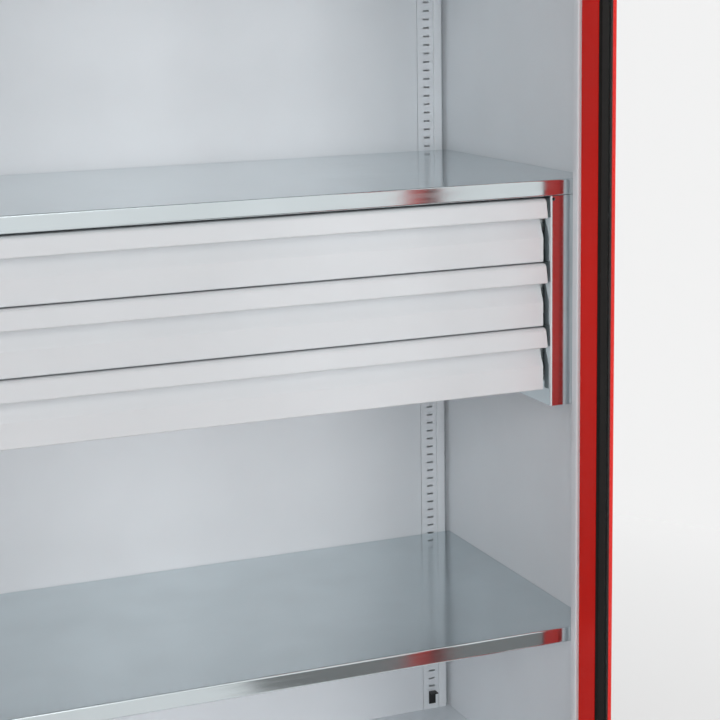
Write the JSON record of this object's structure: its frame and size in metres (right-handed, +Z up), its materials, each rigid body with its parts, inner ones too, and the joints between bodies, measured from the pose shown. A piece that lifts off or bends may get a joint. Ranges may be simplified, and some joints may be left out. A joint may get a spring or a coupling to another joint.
{
  "type": "storage cabinet",
  "caption": "Heavy-duty steel storage cabinet with shelves, a hung block of telescopic drawers, and two hinged window doors with a rod lock.",
  "frame": {"origin": "centre of the body's footprint on the floor, doors left out", "axes": "+X to the right seen from the front, -Y to the front, +Z up"},
  "size_m": [1.2014, 1.1715, 1.95],
  "materials": {
    "body_paint": "light grey powder coat, fine satin",
    "galvanised": "smooth zinc-coated sheet, blurred mirror gloss",
    "drawer_paint": "very light grey powder coat, satin",
    "door_red": "bright red powder coat, satin",
    "gasket_rubber": "black extruded rubber",
    "clear_pane": "clear smooth pane",
    "zinc": "bright zinc plate",
    "black_steel": "black coated steel",
    "nylon": "natural nylon",
    "handle_black": "black moulded plastic, fine texture",
    "lock_chrome": "polished"
  },
  "bodies": {
    "cabinet": {"plinth": "body_paint", "base_tray": "body_paint", "top_panel": "body_paint", "side_wall_right": "body_paint", "side_wall_left": "body_paint", "back_panel": "body_paint", "upright_rear_right": "body_paint", "upright_rear_left": "body_paint", "upright_front_right": "body_paint", "upright_front_left": "body_paint", "shelf_lower": "galvanised", "shelf_upper": "galvanised", "shelf_top": "galvanised", "shelf_stiffeners": "galvanised", "block_side_right": "galvanised", "block_side_left": "galvanised", "block_cross_rails": "galvanised", "shelf_clips": "black_steel", "block_bolts": "zinc", "hinge_pins": "zinc", "hinge_brackets": "zinc", "lock_keepers": "zinc", "slide_outer_1": "zinc", "slide_outer_2": "zinc", "slide_outer_3": "zinc", "door_buffers": "gasket_rubber"},
    "drawer_1": {"drawer_front_1": "drawer_paint", "drawer_tray_1": "drawer_paint", "slide_inner_1": "zinc"},
    "slide_middle_1": {"slide_middle_1": "zinc"},
    "drawer_2": {"drawer_front_2": "drawer_paint", "drawer_tray_2": "drawer_paint", "slide_inner_2": "zinc"},
    "slide_middle_2": {"slide_middle_2": "zinc"},
    "drawer_3": {"drawer_front_3": "drawer_paint", "drawer_tray_3": "drawer_paint", "slide_inner_3": "zinc"},
    "slide_middle_3": {"slide_middle_3": "zinc"},
    "door_right": {"door_shell_right": "door_red", "door_liner_right": "door_red", "door_gasket_right": "gasket_rubber", "door_pane_right": "clear_pane", "door_bushes_right": "nylon", "handle_base": "handle_black", "rod_guides": "nylon"},
    "door_left": {"door_shell_left": "door_red", "door_liner_left": "door_red", "door_gasket_left": "gasket_rubber", "door_pane_left": "clear_pane", "door_bushes_left": "nylon", "closing_strip": "door_red"},
    "handle": {"handle_lever": "handle_black", "lock_cam": "zinc"},
    "key_cylinder": {"lock_cylinder": "lock_chrome"},
    "rod_upper": {"rod_upper": "zinc"},
    "rod_lower": {"rod_lower": "zinc"}
  },
  "joints": [
    {"name": "drawer_slide_1", "type": "slide", "parent": "cabinet", "child": "drawer_1", "axis": [0, -1, 0], "range_m": [0, 0.43]},
    {"name": "slide_middle_1", "type": "slide", "parent": "cabinet", "child": "slide_middle_1", "axis": [0, -1, 0], "range_m": [0, 0.215]},
    {"name": "drawer_slide_2", "type": "slide", "parent": "cabinet", "child": "drawer_2", "axis": [0, -1, 0], "range_m": [0, 0.43]},
    {"name": "slide_middle_2", "type": "slide", "parent": "cabinet", "child": "slide_middle_2", "axis": [0, -1, 0], "range_m": [0, 0.215]},
    {"name": "drawer_slide_3", "type": "slide", "parent": "cabinet", "child": "drawer_3", "axis": [0, -1, 0], "range_m": [0, 0.43]},
    {"name": "slide_middle_3", "type": "slide", "parent": "cabinet", "child": "slide_middle_3", "axis": [0, -1, 0], "range_m": [0, 0.215]},
    {"name": "door_right_hinge", "type": "hinge", "parent": "cabinet", "child": "door_right", "pos_m": [0.565, -0.304, 0.078], "axis": [0, 0, 1], "range_deg": [-90, 90]},
    {"name": "door_left_hinge", "type": "hinge", "parent": "cabinet", "child": "door_left", "pos_m": [-0.565, -0.304, 0.078], "axis": [0, 0, -1], "range_deg": [-90, 90]},
    {"name": "handle_turn", "type": "hinge", "parent": "door_right", "child": "handle", "pos_m": [0.578, -0.824, 1.01], "axis": [-1, 0, 0], "range_deg": [0, 90]},
    {"name": "key_turn", "type": "hinge", "parent": "door_right", "child": "key_cylinder", "pos_m": [0.578, -0.824, 1.046], "axis": [-1, 0, 0], "range_deg": [0, 90]},
    {"name": "rod_upper_slide", "type": "slide", "parent": "door_right", "child": "rod_upper", "axis": [0, 0, 1], "range_m": [0, 0.018]},
    {"name": "rod_lower_slide", "type": "slide", "parent": "door_right", "child": "rod_lower", "axis": [0, 0, -1], "range_m": [0, 0.018]}
  ],
  "couplings": [
    {"joint": "slide_middle_1", "follows": "drawer_slide_1", "ratio": 0.5},
    {"joint": "slide_middle_2", "follows": "drawer_slide_2", "ratio": 0.5},
    {"joint": "slide_middle_3", "follows": "drawer_slide_3", "ratio": 0.5},
    {"joint": "rod_upper_slide", "follows": "handle_turn", "m_per_rad": 0.011459},
    {"joint": "rod_lower_slide", "follows": "handle_turn", "m_per_rad": 0.011459}
  ]
}
